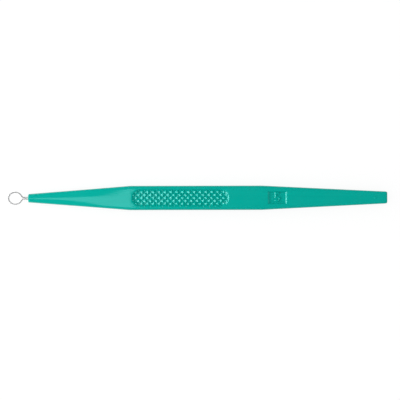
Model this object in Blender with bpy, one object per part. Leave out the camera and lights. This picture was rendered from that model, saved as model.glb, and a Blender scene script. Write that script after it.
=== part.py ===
"""A disposable dermal curette: a moulded plastic handle and a steel loop blade held in its tip.

Metres, +Z up. X runs along the handle, with the loop towards -X, and Y runs across it.
The origin is under the middle of the whole length, on the surface that the grip lies on.
"""

import math

import bmesh
import bpy
from mathutils import Matrix

# Handle: a round tip, a front taper, a parallel grip and a rear taper
TIP_DIAMETER = 0.0032
FRONT_TAPER_LENGTH = 0.0388
GRIP_LENGTH = 0.0500
GRIP_WIDTH = 0.0092
GRIP_THICKNESS = 0.0050
GRIP_EDGE_RADIUS = 0.0011
REAR_TAPER_LENGTH = 0.0475
REAR_WIDTH = 0.0045
REAR_THICKNESS = 0.0032
REAR_EDGE_RADIUS = 0.0007
TIP_ROUNDING = 0.0003
REAR_ROUNDING = 0.0006

# Knurled recess, on both faces of the grip
KNURL_SETBACK = 0.0006
KNURL_LENGTH = 0.0368
KNURL_WIDTH = 0.0069
KNURL_DEPTH = 0.00054
KNURL_WALL_RUN = 0.0006
POINT_PITCH_X = 0.00222
POINT_PITCH_Y = 0.00224
POINT_HEIGHT = 0.0005
POINT_CREST = 0.00016
POINT_ROOT = 0.00005
GROOVE_WIDTH = 0.00025

# Number pocket, on the upper face of the rear taper
POCKET_SETBACK = 0.0022
POCKET_LENGTH = 0.0072
POCKET_WIDTH = 0.0048
POCKET_DEPTH = 0.0004
POCKET_WALL_RUN = 0.0006
POCKET_CORNER_RADIUS = 0.0002
NUMBER_HEIGHT = 0.0034
NUMBER_WIDTH = 0.0028
NUMBER_STROKE = 0.0009
NUMBER_RELIEF = 0.0003
NUMBER_ROOT = 0.0001
NUMBER_FORWARD = 0.0
NUMBER_UP = 0.0002

# The figure five, in shares of half its width and half its height from its middle
FIVE_BAR_END_SHARE = 0.86
FIVE_STEM_TOP_SHARE = -0.82
FIVE_STEM_FOOT_SHARES = (-0.94, -0.12)
FIVE_BOWL_HEIGHT_SHARE = 0.62
FIVE_BOWL_OUTER_START = math.radians(118)
FIVE_BOWL_INNER_START = math.radians(150)
FIVE_BOWL_END = math.radians(-145)

# Loop blade: one strip, bent into an oval ring with two legs side by side
LOOP_LENGTH = 0.0055
LOOP_WIDTH = 0.0050
STRIP_THICKNESS = 0.00045
STRIP_HEIGHT = 0.0014
CUTTING_BEVEL_HEIGHT = 0.0004
CUTTING_EDGE_THICKNESS = 0.00008
NECK_LENGTH = 0.0019
ROOT_RADIUS = 0.0006
ROOT_ANGLE = math.radians(54)
LEG_GAP = 0.00015
LEG_LENGTH = 0.0160
ANCHOR_LENGTH = 0.0030
ANCHOR_SPREAD = 0.0004
SOCKET_CLEARANCE = 0.00012

# How far a cutter stands out past the face that it cuts
CUT_OVERRUN = 0.0005

# Counts of steps along curves
SIDE_STEPS = 1
EDGE_STEPS = 5
TOP_STEPS = 5
TAPER_STEPS = 10
ROUNDING_STEPS = 3
RECESS_END_STEPS = 18
CORNER_STEPS = 4
ROOT_STEPS = 5
LOOP_STEPS = 40
BOWL_STEPS = 14

# Colours as linear RGB, with roughness and metallic values
PLASTIC = ((0.000, 0.347, 0.287), 0.28, 0.0)
STEEL = ((0.60, 0.61, 0.62), 0.25, 1.0)

QUARTER_TURN = math.pi / 2
SHARP_ANGLE = math.radians(30)


def loop_centreline():
    """The upper half of the loop's centreline, from the neck to the front, from the tip face."""
    half_length = (LOOP_LENGTH - STRIP_THICKNESS) / 2
    half_width = (LOOP_WIDTH - STRIP_THICKNESS) / 2
    leg_y = (LEG_GAP + STRIP_THICKNESS) / 2
    root = []
    for step in range(ROOT_STEPS + 1):
        angle = ROOT_ANGLE * step / ROOT_STEPS
        x = -NECK_LENGTH - ROOT_RADIUS * math.sin(angle)
        y = leg_y + ROOT_RADIUS * (1 - math.cos(angle))
        root.append((x, y))
    start = math.atan2(half_width * math.cos(ROOT_ANGLE), half_length * math.sin(ROOT_ANGLE))
    root_x, root_y = root[-1]
    arm_x = (half_width * math.sin(start) - root_y) / math.tan(ROOT_ANGLE)
    middle_x = root_x - arm_x - half_length * math.cos(start)
    oval = []
    for step in range(LOOP_STEPS // 2 + 1):
        angle = start + (math.pi - start) * step / (LOOP_STEPS // 2)
        oval.append((middle_x + half_length * math.cos(angle), half_width * math.sin(angle)))
    return root + oval


LOOP_REACH = STRIP_THICKNESS / 2 - loop_centreline()[-1][0]
HANDLE_LENGTH = FRONT_TAPER_LENGTH + GRIP_LENGTH + REAR_TAPER_LENGTH
TIP_X = LOOP_REACH - (LOOP_REACH + HANDLE_LENGTH) / 2
FRONT_SHOULDER_X = TIP_X + FRONT_TAPER_LENGTH
REAR_SHOULDER_X = FRONT_SHOULDER_X + GRIP_LENGTH
REAR_X = REAR_SHOULDER_X + REAR_TAPER_LENGTH
AXIS_Z = GRIP_THICKNESS / 2


def clear_scene():
    for old in list(bpy.data.objects):
        bpy.data.objects.remove(old, do_unlink=True)


def new_collection(name):
    collection = bpy.data.collections.new(name)
    bpy.context.scene.collection.children.link(collection)
    return collection


def new_material(name, look):
    colour, roughness, metallic = look
    material = bpy.data.materials.new(name)
    material.use_nodes = True
    shader = material.node_tree.nodes["Principled BSDF"]
    shader.inputs["Base Color"].default_value = (*colour, 1.0)
    shader.inputs["Roughness"].default_value = roughness
    shader.inputs["Metallic"].default_value = metallic
    material.diffuse_color = (*colour, 1.0)
    return material


def mesh_object(name, bm, collection):
    """A new object that holds the faces of bm, all facing out."""
    bmesh.ops.recalc_face_normals(bm, faces=bm.faces)
    mesh = bpy.data.meshes.new(name)
    bm.to_mesh(mesh)
    bm.free()
    made = bpy.data.objects.new(name, mesh)
    collection.objects.link(made)
    return made


def mesh_from_curve(curve_object, collection):
    """Turns a curve object into a welded mesh object of the same name."""
    bpy.context.view_layer.update()
    evaluated = curve_object.evaluated_get(bpy.context.evaluated_depsgraph_get())
    mesh = bpy.data.meshes.new_from_object(evaluated)
    name, place = curve_object.name, curve_object.matrix_world.copy()
    bpy.data.objects.remove(curve_object, do_unlink=True)
    bm = bmesh.new()
    bm.from_mesh(mesh)
    bpy.data.meshes.remove(mesh)
    weld_distance = STRIP_THICKNESS / 1000
    bmesh.ops.remove_doubles(bm, verts=bm.verts, dist=weld_distance)
    made = mesh_object(name, bm, collection)
    made.matrix_world = place
    return made


def hide_tool(tool):
    tool.hide_render = True
    tool.display_type = "WIRE"


def combine(target, tool, operation):
    """Takes the tool's shape out of the target, or joins it to the target."""
    modifier = target.modifiers.new(tool.name, "BOOLEAN")
    modifier.operation = operation
    modifier.solver = "EXACT"
    modifier.object = tool


def finish(part, material):
    part.data.materials.append(material)
    part.data.shade_smooth()
    part.data.set_sharp_from_angle(angle=SHARP_ANGLE)


def quarter_section(width, thickness, edge_radius, inset):
    """A quarter of a rounded rectangle, from the middle of its side to the middle of its top."""
    half_width, half_height = width / 2 - inset, thickness / 2 - inset
    radius = edge_radius - inset
    corner_y, corner_z = half_width - radius, half_height - radius
    side = [(half_width, corner_z * step / SIDE_STEPS) for step in range(SIDE_STEPS)]
    edge = []
    for step in range(EDGE_STEPS):
        angle = QUARTER_TURN * step / EDGE_STEPS
        edge.append((corner_y + radius * math.cos(angle), corner_z + radius * math.sin(angle)))
    top = [(corner_y * (1 - step / TOP_STEPS), half_height) for step in range(TOP_STEPS + 1)]
    return side + edge + top


def quarter_circle(radius, model):
    """A quarter of a circle, with its points spaced along it as the model's are."""
    gone = [0]
    for here, there in zip(model, model[1:]):
        gone.append(gone[-1] + math.dist(here, there))
    angles = [QUARTER_TURN * way / gone[-1] for way in gone]
    return [(radius * math.cos(angle), radius * math.sin(angle)) for angle in angles]


def between(first, second, share):
    return [
        (a[0] + (b[0] - a[0]) * share, a[1] + (b[1] - a[1]) * share) for a, b in zip(first, second)
    ]


def ring_of(quarter):
    """All four quarters of a section, in one turn round the handle's axis."""
    right_up = quarter
    left_up = [(-y, z) for y, z in reversed(quarter[:-1])]
    left_down = [(-y, -z) for y, z in quarter[1:]]
    right_down = [(y, -z) for y, z in reversed(quarter[1:-1])]
    return right_up + left_up + left_down + right_down


def rounded_end(rounding):
    """Pairs of distance from an end face and inset there, from the face inwards."""
    pairs = []
    for step in range(ROUNDING_STEPS + 1):
        angle = QUARTER_TURN * step / ROUNDING_STEPS
        pairs.append((rounding * (1 - math.sin(angle)), rounding * (1 - math.cos(angle))))
    return list(reversed(pairs))


def front_section(distance, inset):
    """The handle's section at a distance behind the tip, from round to a rounded rectangle."""
    grip = quarter_section(GRIP_WIDTH, GRIP_THICKNESS, GRIP_EDGE_RADIUS, inset)
    tip = quarter_circle(TIP_DIAMETER / 2 - inset, grip)
    return between(tip, grip, distance / FRONT_TAPER_LENGTH)


def rear_section(distance, inset):
    """The handle's section at a distance in front of its rear end."""
    rear = quarter_section(REAR_WIDTH, REAR_THICKNESS, REAR_EDGE_RADIUS, inset)
    grip = quarter_section(GRIP_WIDTH, GRIP_THICKNESS, GRIP_EDGE_RADIUS, inset)
    return between(rear, grip, distance / REAR_TAPER_LENGTH)


def handle_sections():
    """(x, quarter section) for each ring of the handle, from the tip to the rear end."""
    sections = []
    for distance, inset in rounded_end(TIP_ROUNDING):
        sections.append((TIP_X + distance, front_section(distance, inset)))
    for step in range(1, TAPER_STEPS + 1):
        distance = FRONT_TAPER_LENGTH * step / TAPER_STEPS
        sections.append((TIP_X + distance, front_section(distance, 0)))
    sections.append((REAR_SHOULDER_X, rear_section(REAR_TAPER_LENGTH, 0)))
    for distance, inset in reversed(rounded_end(REAR_ROUNDING)):
        sections.append((REAR_X - distance, rear_section(distance, inset)))
    return sections


def loft(name, rings, collection):
    """A closed form through rings of points, each with as many points as the next."""
    bm = bmesh.new()
    rings = [[bm.verts.new(point) for point in ring] for ring in rings]
    count = len(rings[0])
    for here, there in zip(rings, rings[1:]):
        for i in range(count):
            j = (i + 1) % count
            bm.faces.new((here[i], here[j], there[j], there[i]))
    bm.faces.new(rings[0])
    bm.faces.new(rings[-1])
    return mesh_object(name, bm, collection)


def make_handle(collection):
    """The handle's outer form, from the round tip over the flat grip to the rear end."""
    rings = []
    for x, quarter in handle_sections():
        rings.append([(x, y, AXIS_Z + z) for y, z in ring_of(quarter)])
    return loft("handle", rings, collection)


def prism(name, outline, low, high, collection):
    """A tool with upright walls."""
    bm = bmesh.new()
    floor = bm.faces.new([bm.verts.new((x, y, low)) for x, y in outline])
    raised = bmesh.ops.extrude_face_region(bm, geom=[floor], use_keep_orig=True)
    top = [item for item in raised["geom"] if isinstance(item, bmesh.types.BMVert)]
    bmesh.ops.translate(bm, verts=top, vec=(0, 0, high - low))
    made = mesh_object(name, bm, collection)
    hide_tool(made)
    return made


def rounded_outline(length, width, radius, steps):
    """The outline of a rectangle with round corners. A stadium has half its width as radius."""
    points = []
    for turn in range(4):
        side_x = 1 if turn in (0, 3) else -1
        side_y = 1 if turn in (0, 1) else -1
        middle_x, middle_y = side_x * (length / 2 - radius), side_y * (width / 2 - radius)
        for step in range(steps + 1):
            angle = QUARTER_TURN * (turn + step / steps)
            point = (middle_x + radius * math.cos(angle), middle_y + radius * math.sin(angle))
            points.append(point)
    near = radius / steps / 10
    return [here for here, last in zip(points, points[-1:] + points) if math.dist(here, last) > near]


def sunk_cutter(name, length, width, radius, steps, depth, wall_run, collection):
    """A tool for a pocket with sloping walls, with the pocket's mouth in its own XY plane.

    Its walls go on past the mouth at the same slope. Without a radius, the ends are round.
    """
    rings = []
    for inset, z in ((-CUT_OVERRUN * wall_run / depth, CUT_OVERRUN), (wall_run, -depth)):
        ring_length, ring_width = length - 2 * inset, width - 2 * inset
        outline = rounded_outline(ring_length, ring_width, radius or ring_width / 2, steps)
        rings.append([(x, y, z) for x, y in outline])
    cutter = loft(name, rings, collection)
    hide_tool(cutter)
    return cutter


def point_places():
    """Where the knurl's points stand, measured from the middle of the recess."""
    columns = math.ceil(KNURL_LENGTH / POINT_PITCH_X)
    rows = math.ceil(KNURL_WIDTH / POINT_PITCH_Y)
    straight = (KNURL_LENGTH - KNURL_WIDTH) / 2
    places = []
    for row in range(-rows, rows + 1):
        for column in range(-columns, columns + 1):
            x = POINT_PITCH_X * (column + (0 if row % 2 else 1) / 2)
            y = POINT_PITCH_Y * row / 2
            if math.hypot(max(abs(x) - straight, 0), y) < KNURL_WIDTH / 2:
                places.append((x, y))
    return places


def make_points(name, collection):
    """The knurl's pyramids, standing on the floor of the recess."""
    side_distance = POINT_PITCH_X * POINT_PITCH_Y / math.hypot(POINT_PITCH_X, POINT_PITCH_Y) / 2
    base = POINT_PITCH_X / 2 * (1 - GROOVE_WIDTH / 2 / side_distance)
    crest = POINT_CREST / 2
    root = base + (base - crest) * POINT_ROOT / POINT_HEIGHT
    squeeze = Matrix.Diagonal((1, POINT_PITCH_Y / POINT_PITCH_X, 1, 1))
    middle_z = -KNURL_DEPTH + (POINT_HEIGHT - POINT_ROOT) / 2
    bm = bmesh.new()
    for x, y in point_places():
        bmesh.ops.create_cone(
            bm,
            cap_ends=True,
            segments=4,
            radius1=root,
            radius2=crest,
            depth=POINT_HEIGHT + POINT_ROOT,
            matrix=Matrix.Translation((x, y, middle_z)) @ squeeze,
        )
    points = mesh_object(name, bm, collection)
    hide_tool(points)
    return points


def cut_knurl(handle, face, place, collection):
    """Sinks one recess into the handle and leaves the knurl's points standing in it."""
    recess = sunk_cutter(
        f"knurl_recess_{face}",
        KNURL_LENGTH,
        KNURL_WIDTH,
        None,
        RECESS_END_STEPS,
        KNURL_DEPTH,
        KNURL_WALL_RUN,
        collection,
    )
    points = make_points(f"knurl_points_{face}", collection)
    recess.matrix_world = place
    points.matrix_world = place
    combine(handle, recess, "DIFFERENCE")
    combine(handle, points, "UNION")


def bowl_arc(inset, start, end):
    """Points along the figure's bowl, at an inset from its outer edge."""
    half_width, half_height = NUMBER_WIDTH / 2, NUMBER_HEIGHT / 2 * FIVE_BOWL_HEIGHT_SHARE
    middle_y = half_height - NUMBER_HEIGHT / 2
    arc = []
    for step in range(BOWL_STEPS + 1):
        angle = start + (end - start) * step / BOWL_STEPS
        x = (half_width - inset) * math.cos(angle)
        arc.append((x, middle_y + (half_height - inset) * math.sin(angle)))
    return arc


def five_outline():
    """The outline of the figure five, from its bar's end over the stem and round the bowl."""
    half_width, top = NUMBER_WIDTH / 2, NUMBER_HEIGHT / 2
    bar_end, stem = half_width * FIVE_BAR_END_SHARE, half_width * FIVE_STEM_TOP_SHARE
    foot_x, foot_y = FIVE_STEM_FOOT_SHARES
    left = [(bar_end, top), (stem, top), (half_width * foot_x, top * foot_y)]
    inner = bowl_arc(NUMBER_STROKE, FIVE_BOWL_INNER_START, FIVE_BOWL_END)
    outer = bowl_arc(0, FIVE_BOWL_END, FIVE_BOWL_OUTER_START)
    right = [(stem + NUMBER_STROKE, top - NUMBER_STROKE), (bar_end, top - NUMBER_STROKE)]
    return left + inner + outer + right


def make_number(collection):
    """The raised figure, with its own origin on the pocket's floor."""
    return prism("number", five_outline(), -NUMBER_ROOT, NUMBER_RELIEF, collection)


def cut_pocket(handle, collection):
    """Sinks the number pocket into the rear taper, square to its sloping upper face."""
    slope = math.atan2((GRIP_THICKNESS - REAR_THICKNESS) / 2, REAR_TAPER_LENGTH)
    pocket = sunk_cutter(
        "number_pocket",
        POCKET_LENGTH,
        POCKET_WIDTH,
        POCKET_CORNER_RADIUS,
        CORNER_STEPS,
        POCKET_DEPTH,
        POCKET_WALL_RUN,
        collection,
    )
    along = POCKET_SETBACK + POCKET_LENGTH / 2
    place = (
        Matrix.Translation((REAR_SHOULDER_X, 0, GRIP_THICKNESS))
        @ Matrix.Rotation(slope, 4, "Y")
        @ Matrix.Translation((along, 0, 0))
    )
    pocket.matrix_world = place
    number = make_number(collection)
    number.matrix_world = place @ Matrix.Translation((-NUMBER_FORWARD, NUMBER_UP, -POCKET_DEPTH))
    combine(handle, pocket, "DIFFERENCE")
    combine(handle, number, "UNION")


def leg_points():
    """The upper leg's centreline inside the handle, from its anchor end to the tip face."""
    leg_y = (LEG_GAP + STRIP_THICKNESS) / 2
    return [(LEG_LENGTH, leg_y + ANCHOR_SPREAD), (LEG_LENGTH - ANCHOR_LENGTH, leg_y)]


def cut_socket(handle, collection):
    """Hollows the tip for the two legs and for the spread ends that lock them in."""
    half_width = LEG_GAP / 2 + STRIP_THICKNESS + SOCKET_CLEARANCE
    shank_end = LEG_LENGTH - ANCHOR_LENGTH
    end = LEG_LENGTH + SOCKET_CLEARANCE
    upper = [
        (-CUT_OVERRUN, half_width),
        (shank_end - SOCKET_CLEARANCE, half_width),
        (end, half_width + ANCHOR_SPREAD + SOCKET_CLEARANCE),
    ]
    outline = upper + [(x, -y) for x, y in reversed(upper)]
    half_height = STRIP_HEIGHT / 2 + SOCKET_CLEARANCE
    socket = prism("blade_socket", outline, -half_height, half_height, collection)
    socket.matrix_world = Matrix.Translation((TIP_X, 0, AXIS_Z))
    combine(handle, socket, "DIFFERENCE")


def poly_curve(name, points, closed):
    """A curve object of straight spans through points in its own XY plane."""
    curve = bpy.data.curves.new(name, "CURVE")
    curve.dimensions = "3D"
    curve.twist_mode = "Z_UP"
    spline = curve.splines.new("POLY")
    spline.points.add(len(points) - 1)
    for spot, (x, y) in zip(spline.points, points):
        spot.co = (x, y, 0, 1)
    spline.use_cyclic_u = closed
    return bpy.data.objects.new(name, curve)


def make_blade(collection, cutters):
    """The steel strip, swept from the end of one leg round the loop to the end of the other."""
    upper = leg_points() + loop_centreline()
    path = upper + [(x, -y) for x, y in reversed(upper[:-1])]
    half = STRIP_THICKNESS / 2
    back, bevel_top = STRIP_HEIGHT / 2, CUTTING_BEVEL_HEIGHT - STRIP_HEIGHT / 2
    edge_z, edge = -STRIP_HEIGHT / 2, CUTTING_EDGE_THICKNESS / 2
    right = [(half, back), (half, bevel_top), (edge, edge_z)]
    section = right + [(-x, z) for x, z in reversed(right)]
    profile = poly_curve("strip_section", section, True)
    cutters.objects.link(profile)
    blade = poly_curve("loop_blade", path, False)
    blade.data.bevel_mode = "OBJECT"
    blade.data.bevel_object = profile
    blade.data.use_fill_caps = True
    blade.location = (TIP_X, 0, AXIS_Z)
    collection.objects.link(blade)
    blade = mesh_from_curve(blade, collection)
    bpy.data.objects.remove(profile, do_unlink=True)
    return blade


def main():
    clear_scene()
    parts = new_collection("dermal_curette")
    cutters = new_collection("cutters")
    handle = make_handle(parts)
    middle_x = FRONT_SHOULDER_X + KNURL_SETBACK + KNURL_LENGTH / 2
    upper = Matrix.Translation((middle_x, 0, GRIP_THICKNESS))
    under = Matrix.Translation((middle_x, 0, 0)) @ Matrix.Rotation(math.pi, 4, "X")
    cut_knurl(handle, "upper", upper, cutters)
    cut_knurl(handle, "under", under, cutters)
    cut_socket(handle, cutters)
    cut_pocket(handle, cutters)
    finish(handle, new_material("handle_plastic", PLASTIC))
    blade = make_blade(parts, cutters)
    finish(blade, new_material("blade_steel", STEEL))


main()
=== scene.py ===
"""Fine shapes, finishes and a small photo studio for a disposable dermal curette.

Metres, +Z up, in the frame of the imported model. X runs along the handle, with the ring
towards -X, and the face that carries the size number looks up.
"""

import math

import bmesh
import bpy
from bpy.props import FloatProperty, FloatVectorProperty, PointerProperty
from mathutils import Matrix, Vector


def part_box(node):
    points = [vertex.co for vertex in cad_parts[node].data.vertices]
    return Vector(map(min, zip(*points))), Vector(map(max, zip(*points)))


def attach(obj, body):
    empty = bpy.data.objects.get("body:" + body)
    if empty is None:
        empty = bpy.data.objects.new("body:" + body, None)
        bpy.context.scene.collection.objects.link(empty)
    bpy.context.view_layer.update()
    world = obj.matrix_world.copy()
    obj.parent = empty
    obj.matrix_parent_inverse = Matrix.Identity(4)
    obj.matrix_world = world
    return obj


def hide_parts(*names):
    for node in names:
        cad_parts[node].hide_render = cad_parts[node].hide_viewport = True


bl_info = {
    "name": "Dermal Curette",
    "version": (1, 0, 0),
    "blender": (4, 5, 0),
    "location": "View3D > Sidebar > Curette",
    "description": "Builds a disposable dermal curette with its finishes and a photo studio",
    "category": "Add Mesh",
}

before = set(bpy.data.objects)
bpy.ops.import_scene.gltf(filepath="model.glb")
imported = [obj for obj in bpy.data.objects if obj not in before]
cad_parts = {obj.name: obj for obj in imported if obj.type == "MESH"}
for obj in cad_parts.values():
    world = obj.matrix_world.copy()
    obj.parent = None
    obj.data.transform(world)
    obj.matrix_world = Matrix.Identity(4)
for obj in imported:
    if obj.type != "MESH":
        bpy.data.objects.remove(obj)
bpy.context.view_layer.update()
HANDLE_LOW, HANDLE_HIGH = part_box("handle")
BLADE_LOW, BLADE_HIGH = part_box("loop_blade")

BODY = "root"
QUARTER_TURN = math.pi / 2
SHARP_ANGLE = math.radians(32)

# How far a cutter stands out past the face that it cuts
CUT_OVERRUN = 0.0005

# Share of its size by which carving may change a piece
REACH_SLACK = 0.001

# Share of a mouth's rounding by which the rounding starts over the face, for a clean cut
MOUTH_RISE_SHARE = 0.02

# Share of a corner's step under which two points of an outline count as one
SAME_POINT_SHARE = 0.1

# Largest share of a square's side that the rounding of one corner takes
CORNER_LIMIT_SHARE = 0.25

# Share of a small rounding's height by which the ring in its middle lies under the top
MIDDLE_DROP_SHARE = 1 / 3

# Counts of steps along curves and lengths
SIDE_STEPS = 3
EDGE_STEPS = 8
TOP_STEPS = 8
FRONT_STEPS = 32
GRIP_STEPS = 32
REAR_STEPS = 32
ROUNDING_STEPS = 6
RECESS_END_STEPS = 32
CORNER_STEPS = 5
FILLET_STEPS = 3
POINT_CORNER_STEPS = 2
BOWL_STEPS = 28
DOME_STEPS = 24
ROOT_STEPS = 10
LOOP_STEPS = 120
STRIP_ROUND_STEPS = 4

# The figure five, in shares of half its width and half its height, and its bowl's end angles
FIVE_BAR_END_SHARE = 0.86
FIVE_STEM_TOP_SHARE = -0.82
FIVE_STEM_FOOT_SHARES = (-0.86, -0.26)
FIVE_BOWL_HEIGHT_SHARE = 0.62
FIVE_BOWL_OUTER_START = math.radians(118)
FIVE_BOWL_INNER_START = math.radians(150)
FIVE_BOWL_END = math.radians(-162)

# How rough each noise is, and the stretch of its values that a mask spreads over 0 to 1
HAZE_DETAIL = 4
HAZE_STRETCH = (0.38, 0.66)
LINE_DETAIL = 3
LINE_STRETCH = (0.35, 0.65)

WHITE = (1, 1, 1, 1)


# Short forms of the properties that hold lengths, places, angles, shares, brightness and colours
def length(name, description, default):
    return FloatProperty(
        name=name, description=description, default=default, min=0, unit="LENGTH", precision=5
    )


def place(name, description, default):
    return FloatProperty(
        name=name, description=description, default=default, unit="LENGTH", precision=5
    )


def angle(name, description, default):
    return FloatProperty(name=name, description=description, default=default, subtype="ANGLE")


def share(name, description, default):
    return FloatProperty(
        name=name, description=description, default=default, min=0, max=1, subtype="FACTOR"
    )


def brightness(name, description, default):
    return FloatProperty(name=name, description=description, default=default, min=0)


def colour(name, description, default):
    return FloatVectorProperty(
        name=name, description=description, default=default, size=3, subtype="COLOR"
    )


class HandleSizes(bpy.types.PropertyGroup):
    """Sizes of the moulded handle that its box doesn't give."""

    tip_diameter: length("Tip diameter", "Width of the round tip", 0.0032)
    front_taper: length("Front taper", "Length from the tip to the grip", 0.0388)
    grip_length: length("Grip", "Length of the parallel grip", 0.0500)
    grip_edge_radius: length("Grip edge", "Radius of the grip's long edges", 0.0011)
    rear_width: length("Rear width", "Width at the rear end", 0.0045)
    rear_thickness: length("Rear thickness", "Thickness at the rear end", 0.0032)
    rear_edge_radius: length("Rear edge", "Radius of the long edges at the rear end", 0.0007)
    tip_rounding: length("Tip rounding", "Radius round the tip's face", 0.0002)
    rear_rounding: length("Rear rounding", "Radius round the rear end's face", 0.0006)
    parting_depth: length("Parting line depth", "Depth of the mould's parting line", 0.00002)
    parting_width: length("Parting line width", "Width of the mould's parting line", 0.0001)
    gate_setback: length("Gate setback", "From the rear end to the gate mark", 0.0046)
    gate_length: length("Gate length", "Length of the gate mark along the handle", 0.0009)
    gate_width: length("Gate width", "Width of the gate mark", 0.0011)
    gate_height: length("Gate height", "How far the gate mark stands up", 0.00007)


class KnurlSizes(bpy.types.PropertyGroup):
    """Sizes of the knurled recess on each face of the grip."""

    setback: length("Setback", "From the grip's front to the recess", 0.0006)
    recess_length: length("Recess length", "Length of the recess's mouth", 0.0368)
    recess_width: length("Recess width", "Width of the recess's mouth", 0.0069)
    recess_depth: length("Recess depth", "Depth of the recess", 0.00054)
    wall_run: length("Wall run", "Width of the recess's sloping wall", 0.00066)
    mouth_radius: length("Mouth radius", "Rounding where the wall meets the face", 0.00012)
    floor_radius: length("Floor radius", "Rounding where the wall meets the floor", 0.00012)
    pitch_x: length("Pitch along", "Distance between points along the handle", 0.00222)
    pitch_y: length("Pitch across", "Distance between points across the handle", 0.00224)
    point_height: length("Point height", "Height of a point over the floor", 0.0005)
    point_root: length("Point root", "How far a point reaches under the floor", 0.00005)
    crest: length("Crest", "Width across a point's top before it is rounded", 0.00016)
    crest_round: length("Crest rounding", "Height of the rounding round a point's top", 0.00004)
    ridge_radius: length("Ridge radius", "Rounding of a point's four ridges", 0.00008)
    groove: length("Groove", "Width of the groove between points", 0.00025)


class NumberSizes(bpy.types.PropertyGroup):
    """Sizes of the sunk pocket and the raised size number in it."""

    pocket_setback: length("Setback", "From the grip's rear to the pocket", 0.0022)
    pocket_length: length("Pocket length", "Length of the pocket's mouth", 0.0071)
    pocket_width: length("Pocket width", "Width of the pocket's mouth", 0.0048)
    pocket_depth: length("Pocket depth", "Depth of the pocket", 0.0004)
    wall_run: length("Wall run", "Width of the sloping walls at the pocket's ends", 0.00046)
    side_run: length("Side run", "Width of the steeper walls along the pocket", 0.00028)
    corner: length("Corner radius", "Radius of the pocket's corners", 0.0002)
    mouth_radius: length("Mouth radius", "Rounding where the wall meets the face", 0.00006)
    floor_radius: length("Floor radius", "Rounding where the wall meets the floor", 0.00006)
    height: length("Number height", "Height of the figure at its foot", 0.0037)
    width: length("Number width", "Width of the figure at its foot", 0.0025)
    stroke: length("Stroke", "Width of the figure's stroke at its foot", 0.0008)
    draft: length("Draft", "How far the figure's sides lean in", 0.0003)
    edge_round: length("Edge rounding", "Rounding of the figure's upper edge", 0.00006)
    relief: length("Relief", "Height of the figure over the floor", 0.0003)
    root: length("Root", "How far the figure reaches under the floor", 0.0001)
    sideways: place("Sideways", "How far the figure lies from the handle's axis", 0.0003)


class BladeSizes(bpy.types.PropertyGroup):
    """Sizes of the steel strip that makes the ring and its two legs."""

    loop_length: length("Loop length", "Outer length of the ring", 0.0055)
    loop_width: length("Loop width", "Outer width of the ring", 0.0050)
    strip_thickness: length("Strip thickness", "Thickness of the strip", 0.00045)
    bevel_height: length("Bevel height", "Height of the ground cutting bevel", 0.0004)
    edge_thickness: length("Edge thickness", "Thickness at the cutting edge", 0.00008)
    back_radius: length("Back radius", "Rounding of the strip's dull back", 0.0001)
    neck_length: length("Neck length", "From the tip to where the strip parts", 0.0019)
    root_radius: length("Root radius", "Bend where the strip parts", 0.0006)
    root_angle: angle("Root angle", "How far each arm turns out", math.radians(54))
    leg_gap: length("Leg gap", "Gap between the two legs", 0.00015)
    leg_length: length("Leg length", "Length of a leg inside the handle", 0.0160)
    anchor_length: length("Anchor length", "Length of a leg's spread end", 0.0030)
    anchor_spread: length("Anchor spread", "How far a leg's end spreads", 0.0004)
    clearance: length("Clearance", "Gap between the strip and the plastic", 0.00002)


class PlasticLook(bpy.types.PropertyGroup):
    """Finish of the moulded plastic."""

    base: colour("Colour", "Colour of the plastic", (0.0, 0.352, 0.286))
    flow: colour("Flow colour", "Colour in the lines where the melt flowed", (0.0, 0.366, 0.299))
    gloss_tint: colour("Gloss tint", "Tint of the gloss seen straight on", (0.4, 1.0, 1.0))
    roughness: share("Roughness", "Roughness of a clean surface", 0.09)
    haze: share("Haze", "Extra roughness where the surface is handled", 0.04)
    haze_size: length("Haze size", "Size of a handled patch", 0.006)
    flow_length: length("Flow length", "Length of a flow line", 0.024)
    flow_width: length("Flow width", "Width of a flow line", 0.00075)
    grain_size: length("Grain size", "Size of the mould's fine grain", 0.00012)
    grain_depth: length("Grain depth", "Depth of the mould's fine grain", 0.0000012)


class SteelLook(bpy.types.PropertyGroup):
    """Finish of the steel strip."""

    base: colour("Colour", "Colour of the steel", (0.77, 0.775, 0.78))
    line: colour("Line colour", "Colour in the grinding lines", (0.67, 0.675, 0.68))
    roughness: share("Roughness", "Roughness of a clean surface", 0.66)
    haze: share("Haze", "Extra roughness in dull patches", 0.10)
    haze_size: length("Haze size", "Size of a dull patch", 0.0009)
    line_pitch: length("Line pitch", "Distance between grinding lines", 0.00004)
    line_length: length("Line length", "Length of a grinding line", 0.0020)
    line_depth: length("Line depth", "Depth of a grinding line", 0.000002)


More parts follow.
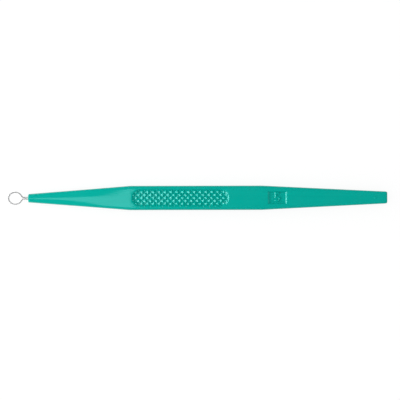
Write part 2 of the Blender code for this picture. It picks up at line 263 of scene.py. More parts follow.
class StudioSettings(bpy.types.PropertyGroup):
    """Camera, floor and light."""

    camera_height: length("Camera height", "Height of the camera over the floor", 0.5)
    view_width: length("View width", "Width that the picture shows", 0.1521)
    look_x: place("Look at X", "What the picture's middle shows, along X", 0.00095)
    look_y: place("Look at Y", "What the picture's middle shows, along Y", -0.00081)
    roll: angle("Roll", "Turn of the camera about its view", math.radians(-0.126))
    floor_size: length("Floor size", "Side of the floor", 4.0)
    floor_gap: length("Floor gap", "How far the floor lies under the object", 0.00005)
    floor_glow: share("Floor glow", "Share of the floor's white that no shadow dims", 0.88)
    floor_bounce: share("Floor bounce", "How much light the floor throws back up", 0.45)
    dome_zenith: brightness("Dome zenith", "Brightness of the soft light overhead", 1.035)
    dome_horizon: brightness("Dome horizon", "Brightness of the soft light at the sides", 0.34)
    ceiling: brightness("Ceiling", "Brightness overhead, as camera and gloss see it", 0.10)
    ceiling_start: share("Ceiling start", "Upward share of a direction that reaches it", 0.15)
    top_radiance: brightness("Top box brightness", "Brightness of the softbox overhead", 2.5)
    top_width: length("Top box width", "Size of the overhead softbox along X", 0.285)
    top_depth: length("Top box depth", "Size of the overhead softbox along Y", 0.30)
    top_x: place("Top box X", "Middle of the overhead softbox along X", -0.218)
    top_y: place("Top box Y", "Middle of the overhead softbox along Y", -0.09)
    top_z: place("Top box Z", "Height of the overhead softbox over the floor", 1.0)
    side_radiance: brightness("Side box brightness", "Brightness of the softbox at the left", 6.4)
    side_distance: length("Side box distance", "From the object to the left softbox", 0.35)
    side_width: length("Side box width", "Width of the left softbox", 0.75)
    side_height: length("Side box height", "Height of the left softbox", 0.15)
    side_z: place("Side box Z", "Middle of the left softbox over the floor", 0.11)


def mesh_object(name, bm):
    """A new object that holds the faces of bm, all facing out."""
    bmesh.ops.recalc_face_normals(bm, faces=bm.faces)
    mesh = bpy.data.meshes.new(name)
    bm.to_mesh(mesh)
    bm.free()
    made = bpy.data.objects.new(name, mesh)
    bpy.context.scene.collection.objects.link(made)
    return made


def add_loft(bm, rings):
    """Adds a closed form through rings of points, each with as many points as the next."""
    rings = [[bm.verts.new(point) for point in ring] for ring in rings]
    count = len(rings[0])
    for here, there in zip(rings, rings[1:]):
        for i in range(count):
            j = (i + 1) % count
            bm.faces.new((here[i], here[j], there[j], there[i]))
    bm.faces.new(rings[0])
    bm.faces.new(rings[-1])


def loft(name, rings):
    """A new object that is one closed form through rings of points."""
    bm = bmesh.new()
    add_loft(bm, rings)
    return mesh_object(name, bm)


def settle(piece):
    """Makes the piece's modifiers part of its mesh."""
    bpy.context.view_layer.update()
    evaluated = piece.evaluated_get(bpy.context.evaluated_depsgraph_get())
    mesh = bpy.data.meshes.new_from_object(evaluated)
    if not mesh.polygons:
        raise RuntimeError(f"{piece.name} lost its faces")
    mesh.name = piece.name
    piece.modifiers.clear()
    piece.data = mesh


def carve(piece, tools):
    """Takes each tool out of the piece, or joins it to the piece, and removes the tools."""
    reach = piece.dimensions.copy()
    for tool, operation in tools:
        modifier = piece.modifiers.new(tool.name, "BOOLEAN")
        modifier.operation = operation
        modifier.solver = "EXACT"
        modifier.object = tool
    settle(piece)
    if (piece.dimensions - reach).length > reach.length * REACH_SLACK:
        raise RuntimeError(f"{piece.name} changed its size when it was carved")
    for tool, _ in tools:
        bpy.data.objects.remove(tool, do_unlink=True)


def smooth(piece):
    """Smooth shading that keeps flat faces flat and hard edges hard."""
    piece.data.shade_smooth()
    piece.data.set_sharp_from_angle(angle=SHARP_ANGLE)
    modifier = piece.modifiers.new("flat_faces", "WEIGHTED_NORMAL")
    modifier.keep_sharp = True
    settle(piece)


def quarter_section(width, thickness, edge_radius, inset, line_width):
    """A quarter of a rounded rectangle, from the middle of its side to the middle of its top."""
    half_width, half_height = width / 2 - inset, thickness / 2 - inset
    radius = edge_radius - inset
    corner_y, corner_z = half_width - radius, half_height - radius
    side = [(half_width, 0), (half_width, line_width / 2)]
    for step in range(1, SIDE_STEPS):
        side.append((half_width, corner_z * step / SIDE_STEPS))
    edge = []
    for step in range(EDGE_STEPS):
        turn = QUARTER_TURN * step / EDGE_STEPS
        edge.append((corner_y + radius * math.cos(turn), corner_z + radius * math.sin(turn)))
    top = [(corner_y * (1 - step / TOP_STEPS), half_height) for step in range(TOP_STEPS + 1)]
    return side + edge + top


def quarter_circle(radius, model):
    """A quarter of a circle, with its points spaced along it as the model's are."""
    gone = [0]
    for here, there in zip(model, model[1:]):
        gone.append(gone[-1] + math.dist(here, there))
    turns = [QUARTER_TURN * way / gone[-1] for way in gone]
    return [(radius * math.cos(turn), radius * math.sin(turn)) for turn in turns]


def between(first, second, part):
    """The section that lies a part of the way from the first to the second."""
    return [
        (a[0] + (b[0] - a[0]) * part, a[1] + (b[1] - a[1]) * part) for a, b in zip(first, second)
    ]


def ring_of(quarter, parting_depth):
    """All four quarters of a section, with the parting line's nick in both sides."""
    nicked = [(quarter[0][0] - parting_depth, 0)] + quarter[1:]
    left_up = [(-y, z) for y, z in reversed(nicked[:-1])]
    left_down = [(-y, -z) for y, z in nicked[1:]]
    right_down = [(y, -z) for y, z in reversed(nicked[1:-1])]
    return nicked + left_up + left_down + right_down


def rounded_end(rounding):
    """Pairs of distance from an end face and inset there, from the face inwards."""
    pairs = []
    for step in range(ROUNDING_STEPS + 1):
        turn = QUARTER_TURN * step / ROUNDING_STEPS
        pairs.append((rounding * (1 - math.sin(turn)), rounding * (1 - math.cos(turn))))
    return list(reversed(pairs))


def stations(front, back, steps):
    """Places along X in even steps, from the one after the front to the back."""
    return [front + (back - front) * step / steps for step in range(1, steps + 1)]


class HandleForm:
    """The handle's outer form: where it starts and ends, and its section at any place."""

    def __init__(self, sizes):
        self.sizes = sizes
        self.tip_x, self.rear_x = HANDLE_LOW.x, HANDLE_HIGH.x
        self.width = HANDLE_HIGH.y - HANDLE_LOW.y
        self.thickness = HANDLE_HIGH.z - HANDLE_LOW.z
        self.axis_z = (HANDLE_HIGH.z + HANDLE_LOW.z) / 2
        self.under_z, self.top_z = HANDLE_LOW.z, HANDLE_HIGH.z
        self.grip_x = self.tip_x + sizes.front_taper
        self.grip_end_x = self.grip_x + sizes.grip_length
        self.rear_taper = self.rear_x - self.grip_end_x
        self.rear_slope = math.atan2((self.thickness - sizes.rear_thickness) / 2, self.rear_taper)

    def rear_face(self, along):
        """The place on the rear taper's upper face that lies this far behind the grip."""
        return (
            Matrix.Translation((self.grip_end_x, 0, self.top_z))
            @ Matrix.Rotation(self.rear_slope, 4, "Y")
            @ Matrix.Translation((along, 0, 0))
        )

    def grip_section(self, inset):
        """The section of the parallel grip, all of it drawn in by an inset."""
        sizes = self.sizes
        return quarter_section(
            self.width, self.thickness, sizes.grip_edge_radius, inset, sizes.parting_width
        )

    def front_section(self, x, inset=0):
        """The section in the front taper, which goes from round to a rounded rectangle."""
        grip = self.grip_section(inset)
        tip = quarter_circle(self.sizes.tip_diameter / 2 - inset, grip)
        return between(tip, grip, (x - self.tip_x) / self.sizes.front_taper)

    def rear_section(self, x, inset=0):
        """The section in the rear taper, which narrows from the grip's."""
        sizes = self.sizes
        rear = quarter_section(
            sizes.rear_width,
            sizes.rear_thickness,
            sizes.rear_edge_radius,
            inset,
            sizes.parting_width,
        )
        return between(rear, self.grip_section(inset), (self.rear_x - x) / self.rear_taper)

    def rings(self):
        """Points round the handle at each station, from the tip to the rear end."""
        sizes = self.sizes
        sections = []
        for distance, inset in rounded_end(sizes.tip_rounding):
            x = self.tip_x + distance
            sections.append((x, self.front_section(x, inset)))
        for x in stations(self.tip_x + sizes.tip_rounding, self.grip_x, FRONT_STEPS):
            sections.append((x, self.front_section(x)))
        for x in stations(self.grip_x, self.grip_end_x, GRIP_STEPS):
            sections.append((x, self.grip_section(0)))
        taper_end = self.rear_x - sizes.rear_rounding
        for x in stations(self.grip_end_x, taper_end, REAR_STEPS)[:-1]:
            sections.append((x, self.rear_section(x)))
        for distance, inset in reversed(rounded_end(sizes.rear_rounding)):
            x = self.rear_x - distance
            sections.append((x, self.rear_section(x, inset)))
        rings = []
        for x, quarter in sections:
            ring = ring_of(quarter, sizes.parting_depth)
            rings.append([(x, y, self.axis_z + z) for y, z in ring])
        return rings


def rounded_outline(long_side, short_side, radius, steps):
    """The outline of a rectangle with round corners. A stadium has half its width as radius."""
    points = []
    for turn in range(4):
        side_x = 1 if turn in (0, 3) else -1
        side_y = 1 if turn in (0, 1) else -1
        middle_x = side_x * (long_side / 2 - radius)
        middle_y = side_y * (short_side / 2 - radius)
        for step in range(steps + 1):
            spin = QUARTER_TURN * (turn + step / steps)
            points.append((middle_x + radius * math.cos(spin), middle_y + radius * math.sin(spin)))
    # A side without a straight stretch has two corners' points in one place
    near = radius / steps * SAME_POINT_SHARE
    pairs = zip(points, points[-1:] + points)
    return [here for here, last in pairs if math.dist(here, last) > near]


def wall_levels(depth, wall_run, mouth_radius, floor_radius):
    """(inset, height) down a pocket's wall, rounded at the mouth and at the floor."""
    slope = math.atan2(depth, wall_run)
    mouth_start = -mouth_radius * math.tan(slope / 2)
    floor_end = wall_run + floor_radius * math.tan(slope / 2)
    rise = mouth_radius * MOUTH_RISE_SHARE
    levels = [(mouth_start, CUT_OVERRUN)]
    for step in range(FILLET_STEPS + 1):
        turn = slope * step / FILLET_STEPS
        height = rise - (mouth_radius + rise) * (1 - math.cos(turn))
        levels.append((mouth_start + mouth_radius * math.sin(turn), height))
    for step in reversed(range(FILLET_STEPS + 1)):
        turn = slope * step / FILLET_STEPS
        height = -depth + floor_radius * (1 - math.cos(turn))
        levels.append((floor_end - floor_radius * math.sin(turn), height))
    return levels


def sunk_cutter(name, long_side, short_side, radius, steps, levels, side_share=1):
    """A tool for a pocket, with its mouth in its own XY plane. Without a radius, ends are round.

    The walls along it are side_share times as wide as those at its ends.
    """
    rings = []
    for inset, z in levels:
        ring_length, ring_width = long_side - 2 * inset, short_side - 2 * inset * side_share
        outline = rounded_outline(ring_length, ring_width, radius or ring_width / 2, steps)
        rings.append([(x, y, z) for x, y in outline])
    return loft(name, rings)


def point_places(knurl):
    """Where the knurl's points stand, measured from the middle of the recess."""
    columns = math.ceil(knurl.recess_length / knurl.pitch_x)
    rows = math.ceil(knurl.recess_width / knurl.pitch_y)
    straight = (knurl.recess_length - knurl.recess_width) / 2
    places = []
    for row in range(-rows, rows + 1):
        for column in range(-columns, columns + 1):
            x = knurl.pitch_x * (column + (0 if row % 2 else 1) / 2)
            y = knurl.pitch_y * row / 2
            if math.hypot(max(abs(x) - straight, 0), y) < knurl.recess_width / 2:
                places.append((x, y))
    return places


def point_rings(knurl):
    """Rings round one point of the knurl, a pyramid on a rhombus with rounded ridges."""
    side_distance = knurl.pitch_x * knurl.pitch_y / math.hypot(knurl.pitch_x, knurl.pitch_y) / 2
    base = knurl.pitch_x / 2 * (1 - knurl.groove / 2 / side_distance)
    crest = knurl.crest / 2
    root = base + (base - crest) * knurl.point_root / knurl.point_height
    shoulder = crest + (base - crest) * knurl.crest_round / knurl.point_height
    flat = crest / 2
    height = knurl.point_height
    levels = [
        (root, -knurl.point_root),
        (shoulder, height - knurl.crest_round),
        ((shoulder + crest) / 2, height - knurl.crest_round * MIDDLE_DROP_SHARE),
        (flat, height),
    ]
    squeeze = Matrix.Diagonal((1, knurl.pitch_y / knurl.pitch_x, 1))
    turned = squeeze @ Matrix.Rotation(QUARTER_TURN / 2, 3, "Z")
    rings = []
    for reach, z in levels:
        side = reach * math.sqrt(2)
        radius = min(knurl.ridge_radius, side * CORNER_LIMIT_SHARE)
        outline = rounded_outline(side, side, radius, POINT_CORNER_STEPS)
        rings.append([turned @ Vector((x, y, z - knurl.recess_depth)) for x, y in outline])
    return rings


def knurl_tools(knurl, face, where):
    """The recess to take out of one face of the grip, and the points to leave in it."""
    levels = wall_levels(
        knurl.recess_depth, knurl.wall_run, knurl.mouth_radius, knurl.floor_radius
    )
    recess = sunk_cutter(
        f"knurl_recess_{face}",
        knurl.recess_length,
        knurl.recess_width,
        None,
        RECESS_END_STEPS,
        levels,
    )
    bm = bmesh.new()
    rings = point_rings(knurl)
    for x, y in point_places(knurl):
        add_loft(bm, [[point + Vector((x, y, 0)) for point in ring] for ring in rings])
    points = mesh_object(f"knurl_points_{face}", bm)
    recess.matrix_world = where
    points.matrix_world = where
    return [(recess, "DIFFERENCE"), (points, "UNION")]


def bowl_arc(number, inset, start, end):
    """Points along the figure's bowl, at an inset from its outer edge."""
    half_width, half_height = number.width / 2, number.height / 2 * FIVE_BOWL_HEIGHT_SHARE
    middle_y = half_height - number.height / 2
    arc = []
    for step in range(BOWL_STEPS + 1):
        turn = start + (end - start) * step / BOWL_STEPS
        x = (half_width - inset) * math.cos(turn)
        arc.append((x, middle_y + (half_height - inset) * math.sin(turn)))
    return arc


def five_outline(number, inset):
    """The outline of the figure five, all of it drawn in by an inset."""
    half_width, top = number.width / 2, number.height / 2
    bar_end, stem = half_width * FIVE_BAR_END_SHARE, half_width * FIVE_STEM_TOP_SHARE
    foot_x, foot_y = half_width * FIVE_STEM_FOOT_SHARES[0], top * FIVE_STEM_FOOT_SHARES[1]
    bowl_end = FIVE_BOWL_END + inset / (half_width - number.stroke / 2)
    left = [(bar_end - inset, top - inset), (stem + inset, top - inset)]
    foot = [(foot_x + inset, foot_y + inset)]
    inner = bowl_arc(number, number.stroke - inset, FIVE_BOWL_INNER_START, bowl_end)
    outer = bowl_arc(number, inset, bowl_end, FIVE_BOWL_OUTER_START)
    under_bar = top - number.stroke + inset
    right = [(stem + number.stroke - inset, under_bar), (bar_end - inset, under_bar)]
    return left + foot + inner + outer + right


def number_tools(form, number):
    """The pocket to sink into the rear taper's upper face, and the figure to leave in it."""
    where = form.rear_face(number.pocket_setback + number.pocket_length / 2)
    levels = wall_levels(
        number.pocket_depth, number.wall_run, number.mouth_radius, number.floor_radius
    )
    pocket = sunk_cutter(
        "number_pocket",
        number.pocket_length,
        number.pocket_width,
        number.corner,
        CORNER_STEPS,
        levels,
        number.side_run / number.wall_run,
    )
    pocket.matrix_world = where
    draft, relief, edge_round = number.draft, number.relief, number.edge_round
    middle_drop = edge_round * MIDDLE_DROP_SHARE
    levels = [
        (-draft * number.root / relief, -number.root),
        (draft * (1 - edge_round / relief), relief - edge_round),
        (draft + middle_drop, relief - middle_drop),
        (draft + edge_round, relief),
    ]
    rings = [[(x, y, z) for x, y in five_outline(number, inset)] for inset, z in levels]
    figure = loft("number", rings)
    figure.matrix_world = where @ Matrix.Translation(
        (0, number.sideways, -number.pocket_depth)
    )
    return [(pocket, "DIFFERENCE"), (figure, "UNION")]


def gate_tool(form, sizes):
    """The low dome that the mould's gate leaves on the upper face."""
    bm = bmesh.new()
    bmesh.ops.create_uvsphere(bm, u_segments=DOME_STEPS, v_segments=DOME_STEPS, radius=1)
    shape = Matrix.Diagonal((sizes.gate_length / 2, sizes.gate_width / 2, sizes.gate_height, 1))
    where = form.rear_face(form.rear_taper - sizes.gate_setback)
    bmesh.ops.transform(bm, matrix=where @ shape, verts=bm.verts)
    return mesh_object("gate_mark", bm), "UNION"


def socket_tool(form, blade):
    """The space in the tip that the strip's two legs fill."""
    strip_height = BLADE_HIGH.z - BLADE_LOW.z
    half_width = blade.leg_gap / 2 + blade.strip_thickness + blade.clearance
    upper = [
        (-CUT_OVERRUN, half_width),
        (blade.leg_length - blade.anchor_length - blade.clearance, half_width),
        (blade.leg_length + blade.clearance, half_width + blade.anchor_spread + blade.clearance),
    ]
    outline = upper + [(x, -y) for x, y in reversed(upper)]
    half_height = strip_height / 2 + blade.clearance
    rings = [[(x, y, z) for x, y in outline] for z in (-half_height, half_height)]
    socket = loft("blade_socket", rings)
    socket.matrix_world = Matrix.Translation((form.tip_x, 0, form.axis_z))
    return socket, "DIFFERENCE"


def leg_path(blade):
    """The upper leg's centreline inside the handle, measured from the tip's face."""
    leg_y = (blade.leg_gap + blade.strip_thickness) / 2
    shank = blade.leg_length - blade.anchor_length
    return [(blade.leg_length, leg_y + blade.anchor_spread), (shank, leg_y)]


def loop_path(blade):
    """The upper half of the ring's centreline, from the neck to the front."""
    half_length = (blade.loop_length - blade.strip_thickness) / 2
    half_width = (blade.loop_width - blade.strip_thickness) / 2
    leg_y = (blade.leg_gap + blade.strip_thickness) / 2
    turn_out = blade.root_angle
    # The bend out of the neck
    root = []
    for step in range(ROOT_STEPS + 1):
        turn = turn_out * step / ROOT_STEPS
        x = -blade.neck_length - blade.root_radius * math.sin(turn)
        root.append((x, leg_y + blade.root_radius * (1 - math.cos(turn))))
    # The straight arm, up to where the oval runs in the arm's direction
    start = math.atan2(half_width * math.cos(turn_out), half_length * math.sin(turn_out))
    root_x, root_y = root[-1]
    arm_x = (half_width * math.sin(start) - root_y) / math.tan(turn_out)
    middle_x = root_x - arm_x - half_length * math.cos(start)
    # The oval, from the arm to the front
    oval = []
    for step in range(LOOP_STEPS // 2 + 1):
        turn = start + (math.pi - start) * step / (LOOP_STEPS // 2)
        oval.append((middle_x + half_length * math.cos(turn), half_width * math.sin(turn)))
    return root + oval


def strip_section(blade):
    """The strip's section as (sideways, up): a rounded back above, the cutting edge below."""
    half_height = (BLADE_HIGH.z - BLADE_LOW.z) / 2
    half = blade.strip_thickness / 2
    radius = blade.back_radius
    right = [(blade.edge_thickness / 2, -half_height), (half, blade.bevel_height - half_height)]
    for step in range(STRIP_ROUND_STEPS + 1):
        turn = QUARTER_TURN * step / STRIP_ROUND_STEPS
        across = half - radius * (1 - math.cos(turn))
        right.append((across, half_height - radius * (1 - math.sin(turn))))
    return right + [(-across, up) for across, up in reversed(right)]


def sweep(name, path, section, where):
    """A section carried along a flat path, square to it, with mitred corners."""
    spots = [Vector(point) for point in path]
    ways = [(there - here).normalized() for here, there in zip(spots, spots[1:])]
    rings = []
    for spot, before, after in zip(spots, ways[:1] + ways, ways + ways[-1:]):
        middle_way = (before + after).normalized()
        out = middle_way.orthogonal() / middle_way.dot(after)
        ring = []
        for across, up in section:
            ring.append((*(spot + out * across), up))
        rings.append(ring)
    made = loft(name, rings)
    made.data.transform(where)
    return made


def new_group(name, inputs, outputs):
    """A new shader node group with named sockets, and its input and output nodes."""
    group = bpy.data.node_groups.new(name, "ShaderNodeTree")
    for socket, kind in inputs:
        group.interface.new_socket(name=socket, in_out="INPUT", socket_type=kind)
    for socket, kind in outputs:
        group.interface.new_socket(name=socket, in_out="OUTPUT", socket_type=kind)
    return group, group.nodes.new("NodeGroupInput"), group.nodes.new("NodeGroupOutput")


def add_math(tree, operation, *values):
    """A Math node, each of whose inputs is a number or another node's output."""
    node = tree.nodes.new("ShaderNodeMath")
    node.operation = operation
    for socket, value in zip(node.inputs, values):
        if isinstance(value, bpy.types.NodeSocket):
            tree.links.new(value, socket)
        else:
            socket.default_value = value
    return node.outputs[0]


def add_noise(tree, vector, detail):
    """Noise over a place that is already counted in the noise's own cells."""
    node = tree.nodes.new("ShaderNodeTexNoise")
    node.inputs["Scale"].default_value = 1
    node.inputs["Detail"].default_value = detail
    tree.links.new(vector, node.inputs["Vector"])
    return node.outputs["Fac"]


def object_place(tree, cell_size):
    """The place on the object in cells of a size, which is a socket with a length or a vector."""
    place_node = tree.nodes.new("ShaderNodeTexCoord")
    divide = tree.nodes.new("ShaderNodeVectorMath")
    divide.operation = "DIVIDE"
    tree.links.new(place_node.outputs["Object"], divide.inputs[0])
    tree.links.new(cell_size, divide.inputs[1])
    return divide.outputs["Vector"]


def spread_mask(tree, value, stretch):
    """Spreads a stretch of a noise's values over 0 to 1."""
    node = tree.nodes.new("ShaderNodeMapRange")
    node.interpolation_type = "SMOOTHSTEP"
    node.inputs["From Min"].default_value = stretch[0]
    node.inputs["From Max"].default_value = stretch[1]
    tree.links.new(value, node.inputs["Value"])
    return node.outputs["Result"]


def haze_group():
    """Patches where a surface is a little duller, from handling and cleaning."""
    group, given, made = new_group(
        "surface_haze", [("Patch Size", "NodeSocketFloat")], [("Haze", "NodeSocketFloat")]
    )
    noise = add_noise(group, object_place(group, given.outputs["Patch Size"]), HAZE_DETAIL)
    group.links.new(spread_mask(group, noise, HAZE_STRETCH), made.inputs["Haze"])
    return group


def line_group():
    """Fine lines drawn out along one direction, as melt flow or grinding leaves them."""
    group, given, made = new_group(
        "drawn_lines", [("Cell Size", "NodeSocketVector")], [("Lines", "NodeSocketFloat")]
    )
    noise = add_noise(group, object_place(group, given.outputs["Cell Size"]), LINE_DETAIL)
    group.links.new(spread_mask(group, noise, LINE_STRETCH), made.inputs["Lines"])
    return group


def add_group(tree, group, **values):
    """A node that places the group in a material, with its inputs set by name."""
    node = tree.nodes.new("ShaderNodeGroup")
    node.node_tree = group
    for name, value in values.items():
        node.inputs[name.replace("_", " ").title()].default_value = value
    return node


def mix_colours(tree, mask, first, second):
    """A colour that goes from the first to the second as the mask goes from 0 to 1."""
    node = tree.nodes.new("ShaderNodeMix")
    node.data_type = "RGBA"
    tree.links.new(mask, node.inputs["Factor"])
    node.inputs["A"].default_value = (*first, 1)
    node.inputs["B"].default_value = (*second, 1)
    return node.outputs["Result"]


def add_bump(tree, shader, height, depth):
    """Feeds the shader's normal from a height that runs from 0 to 1 over a depth in metres."""
    node = tree.nodes.new("ShaderNodeBump")
    node.inputs["Strength"].default_value = 1
    node.inputs["Distance"].default_value = depth
    tree.links.new(height, node.inputs["Height"])
    tree.links.new(node.outputs["Normal"], shader.inputs["Normal"])


def new_material(name):
    """A new material, with its node tree and its shader."""
    material = bpy.data.materials.new(name)
    material.use_nodes = True
    return material, material.node_tree, material.node_tree.nodes["Principled BSDF"]


def plastic_material(look, haze, lines):
    """Moulded plastic: flow lines along the handle, handled patches and a fine mould grain."""
    material, tree, shader = new_material("moulded_plastic")
    flow_cell = (look.flow_length, look.flow_width, look.flow_width)
    flow = add_group(tree, lines, cell_size=flow_cell).outputs["Lines"]
    tree.links.new(mix_colours(tree, flow, look.base, look.flow), shader.inputs["Base Color"])
    hazed = add_group(tree, haze, patch_size=look.haze_size).outputs["Haze"]
    roughness = add_math(tree, "MULTIPLY_ADD", hazed, look.haze, look.roughness)
    tree.links.new(roughness, shader.inputs["Roughness"])
    grain_cell = (look.grain_size,) * 3
    grain = add_group(tree, lines, cell_size=grain_cell).outputs["Lines"]
    add_bump(tree, shader, grain, look.grain_depth)
    shader.inputs["Specular Tint"].default_value = (*look.gloss_tint, 1)
    return material


def steel_material(look, haze, lines):
    """Ground steel strip, with its grinding lines along the strip."""
    material, tree, shader = new_material("ground_steel")
    line_cell = (look.line_length, look.line_length, look.line_pitch)
    ground = add_group(tree, lines, cell_size=line_cell).outputs["Lines"]
    tree.links.new(mix_colours(tree, ground, look.base, look.line), shader.inputs["Base Color"])
    hazed = add_group(tree, haze, patch_size=look.haze_size).outputs["Haze"]
    roughness = add_math(tree, "MULTIPLY_ADD", hazed, look.haze, look.roughness)
    tree.links.new(roughness, shader.inputs["Roughness"])
    add_bump(tree, shader, ground, look.line_depth)
    shader.inputs["Metallic"].default_value = 1
    return material


def shared_group(name, make):
    """The node group of a name, which is made only once."""
    return bpy.data.node_groups.get(name) or make()


def shared_groups():
    """The haze and the lines, which both materials use."""
    return shared_group("surface_haze", haze_group), shared_group("drawn_lines", line_group)


def seen_ray(tree):
    """1 for rays from the camera, off gloss or through glass, and 0 for diffuse ones."""
    path = tree.nodes.new("ShaderNodeLightPath").outputs
    seen = add_math(tree, "MAXIMUM", path["Is Camera Ray"], path["Is Glossy Ray"])
    return add_math(tree, "MAXIMUM", seen, path["Is Transmission Ray"])


def floor_material(studio):
    """A pale floor, part of whose white is its own, so that it stays white round the shadow."""
    material, tree, shader = new_material("studio_floor")
    shader.inputs["Roughness"].default_value = 1
    shader.inputs["Specular IOR Level"].default_value = 0
    shader.inputs["Emission Color"].default_value = WHITE
    seen = seen_ray(tree)
    gain = 1 - studio.floor_glow - studio.floor_bounce
    shade = add_math(tree, "MULTIPLY_ADD", seen, gain, studio.floor_bounce)
    tree.links.new(shade, shader.inputs["Base Color"])
    glow = add_math(tree, "MULTIPLY", seen, studio.floor_glow)
    tree.links.new(glow, shader.inputs["Emission Strength"])
    return material


def build_world(studio):
    """White all round under a dim ceiling where it is seen, and a soft dome for diffuse light."""
    world = bpy.data.worlds.new("studio_world")
    world.use_nodes = True
    bpy.context.scene.world = world
    tree = world.node_tree
    background = tree.nodes["Background"]
    background.inputs["Color"].default_value = WHITE
    towards = tree.nodes.new("ShaderNodeTexCoord")
    split = tree.nodes.new("ShaderNodeSeparateXYZ")
    tree.links.new(towards.outputs["Generated"], split.inputs["Vector"])
    ceiling = tree.nodes.new("ShaderNodeMapRange")
    ceiling.interpolation_type = "SMOOTHSTEP"
    ceiling.inputs["From Max"].default_value = studio.ceiling_start
    ceiling.inputs["To Min"].default_value = 1
    ceiling.inputs["To Max"].default_value = studio.ceiling
    tree.links.new(split.outputs["Z"], ceiling.inputs["Value"])
    dome = tree.nodes.new("ShaderNodeMapRange")
    dome.inputs["To Min"].default_value = studio.dome_horizon
    dome.inputs["To Max"].default_value = studio.dome_zenith
    tree.links.new(split.outputs["Z"], dome.inputs["Value"])
    shown = tree.nodes.new("ShaderNodeMix")
    tree.links.new(seen_ray(tree), shown.inputs["Factor"])
    tree.links.new(dome.outputs["Result"], shown.inputs["A"])
    tree.links.new(ceiling.outputs["Result"], shown.inputs["B"])
    tree.links.new(shown.outputs["Result"], background.inputs["Strength"])


def add_softbox(name, width, height, radiance, where, target):
    """A flat light of a size and brightness, turned towards a point."""
    light = bpy.data.lights.new(name, "AREA")
    light.shape = "RECTANGLE"
    light.size, light.size_y = width, height
    light.energy = radiance * math.pi * width * height
    box = bpy.data.objects.new(name, light)
    bpy.context.scene.collection.objects.link(box)
    box.location = where
    box.rotation_euler = (Vector(target) - Vector(where)).to_track_quat("-Z", "Y").to_euler()
    box.visible_camera = False


def build_camera(studio):
    """The camera, straight over the curette, with a lens that shows the view's width."""
    camera = bpy.data.cameras.new("camera")
    holder = bpy.data.objects.new("camera", camera)
    bpy.context.scene.collection.objects.link(holder)
    distance = studio.camera_height - HANDLE_HIGH.z / 2
    camera.lens = camera.sensor_width * distance / studio.view_width
    holder.location = (studio.look_x, studio.look_y, studio.camera_height)
    holder.rotation_euler = (0, 0, studio.roll)
    bpy.context.scene.camera = holder


def finish_piece(piece, material, node):
    """Gives a finished piece its material and its place in the frame."""
    piece.data.materials.clear()
    piece.data.materials.append(material)
    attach(piece, BODY)
    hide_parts(node)


class CURETTE_OT_build_handle(bpy.types.Operator):
    """Builds the moulded handle with its knurls, number pocket and finish"""

    bl_idname = "curette.build_handle"
    bl_label = "Build Handle"

    def execute(self, context):
        scene = context.scene
        form = HandleForm(scene.curette_handle)
        knurl = scene.curette_knurl
        middle_x = form.grip_x + knurl.setback + knurl.recess_length / 2
        upper = Matrix.Translation((middle_x, 0, form.top_z))
        under = Matrix.Translation((middle_x, 0, form.under_z)) @ Matrix.Rotation(math.pi, 4, "X")
        handle = loft("handle_body", form.rings())
        tools = [gate_tool(form, scene.curette_handle), socket_tool(form, scene.curette_blade)]
        tools += number_tools(form, scene.curette_number)
        tools += knurl_tools(knurl, "upper", upper) + knurl_tools(knurl, "under", under)
        carve(handle, tools)
        smooth(handle)
        material = plastic_material(scene.curette_plastic, *shared_groups())
        finish_piece(handle, material, "handle")
        return {"FINISHED"}


class CURETTE_OT_build_blade(bpy.types.Operator):
    """Builds the steel strip that makes the cutting ring and its legs"""

    bl_idname = "curette.build_blade"
    bl_label = "Build Blade"

    def execute(self, context):
        scene = context.scene
        sizes = scene.curette_blade
        upper = leg_path(sizes) + loop_path(sizes)
        path = upper + [(x, -y) for x, y in reversed(upper[:-1])]
        middle_z = (BLADE_LOW.z + BLADE_HIGH.z) / 2
        where = Matrix.Translation((HANDLE_LOW.x, 0, middle_z))
        blade = sweep("ring_blade", path, strip_section(sizes), where)
        smooth(blade)
        material = steel_material(scene.curette_steel, *shared_groups())
        finish_piece(blade, material, "loop_blade")
        return {"FINISHED"}


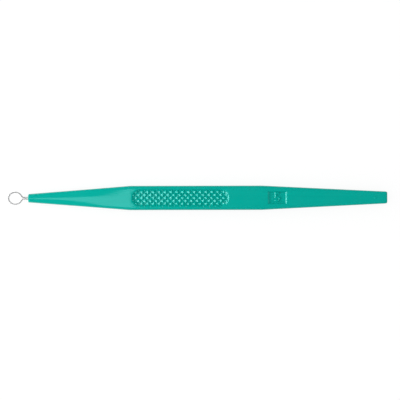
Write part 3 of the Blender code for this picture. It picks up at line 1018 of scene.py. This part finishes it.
class CURETTE_OT_build_studio(bpy.types.Operator):
    """Builds the floor, the soft lights and the camera"""

    bl_idname = "curette.build_studio"
    bl_label = "Build Studio"

    def execute(self, context):
        studio = context.scene.curette_studio
        half = studio.floor_size / 2
        bm = bmesh.new()
        bmesh.ops.create_grid(bm, size=half)
        floor = mesh_object("studio_floor", bm)
        floor.data.transform(Matrix.Translation((0, 0, -studio.floor_gap)))
        floor.data.materials.append(floor_material(studio))
        build_world(studio)
        add_softbox(
            "top_softbox",
            studio.top_width,
            studio.top_depth,
            studio.top_radiance,
            (studio.top_x, studio.top_y, studio.top_z),
            (studio.top_x, studio.top_y, 0),
        )
        add_softbox(
            "side_softbox",
            studio.side_width,
            studio.side_height,
            studio.side_radiance,
            (-studio.side_distance, 0, studio.side_z),
            (0, 0, studio.side_z),
        )
        build_camera(studio)
        context.scene.view_settings.view_transform = "Standard"
        return {"FINISHED"}


class CURETTE_PT_panel(bpy.types.Panel):
    """The sidebar's list of what can be built, with its sizes"""

    bl_label = "Dermal Curette"
    bl_idname = "CURETTE_PT_panel"
    bl_space_type = "VIEW_3D"
    bl_region_type = "UI"
    bl_category = "Curette"

    def draw(self, context):
        for operator in OPERATORS:
            self.layout.operator(operator.bl_idname)
        for name in SETTINGS:
            settings = getattr(context.scene, name)
            box = self.layout.box()
            for key in settings.__annotations__:
                box.prop(settings, key)


OPERATORS = (CURETTE_OT_build_handle, CURETTE_OT_build_blade, CURETTE_OT_build_studio)
SETTINGS = {
    "curette_handle": HandleSizes,
    "curette_knurl": KnurlSizes,
    "curette_number": NumberSizes,
    "curette_blade": BladeSizes,
    "curette_plastic": PlasticLook,
    "curette_steel": SteelLook,
    "curette_studio": StudioSettings,
}


def register():
    for name, group in SETTINGS.items():
        bpy.utils.register_class(group)
        setattr(bpy.types.Scene, name, PointerProperty(type=group))
    for operator in OPERATORS:
        bpy.utils.register_class(operator)
    bpy.utils.register_class(CURETTE_PT_panel)


def unregister():
    bpy.utils.unregister_class(CURETTE_PT_panel)
    for operator in reversed(OPERATORS):
        bpy.utils.unregister_class(operator)
    for name, group in reversed(SETTINGS.items()):
        delattr(bpy.types.Scene, name)
        bpy.utils.unregister_class(group)


def main():
    register()
    bpy.ops.curette.build_handle()
    bpy.ops.curette.build_blade()
    bpy.ops.curette.build_studio()


if __name__ == "__main__":
    main()
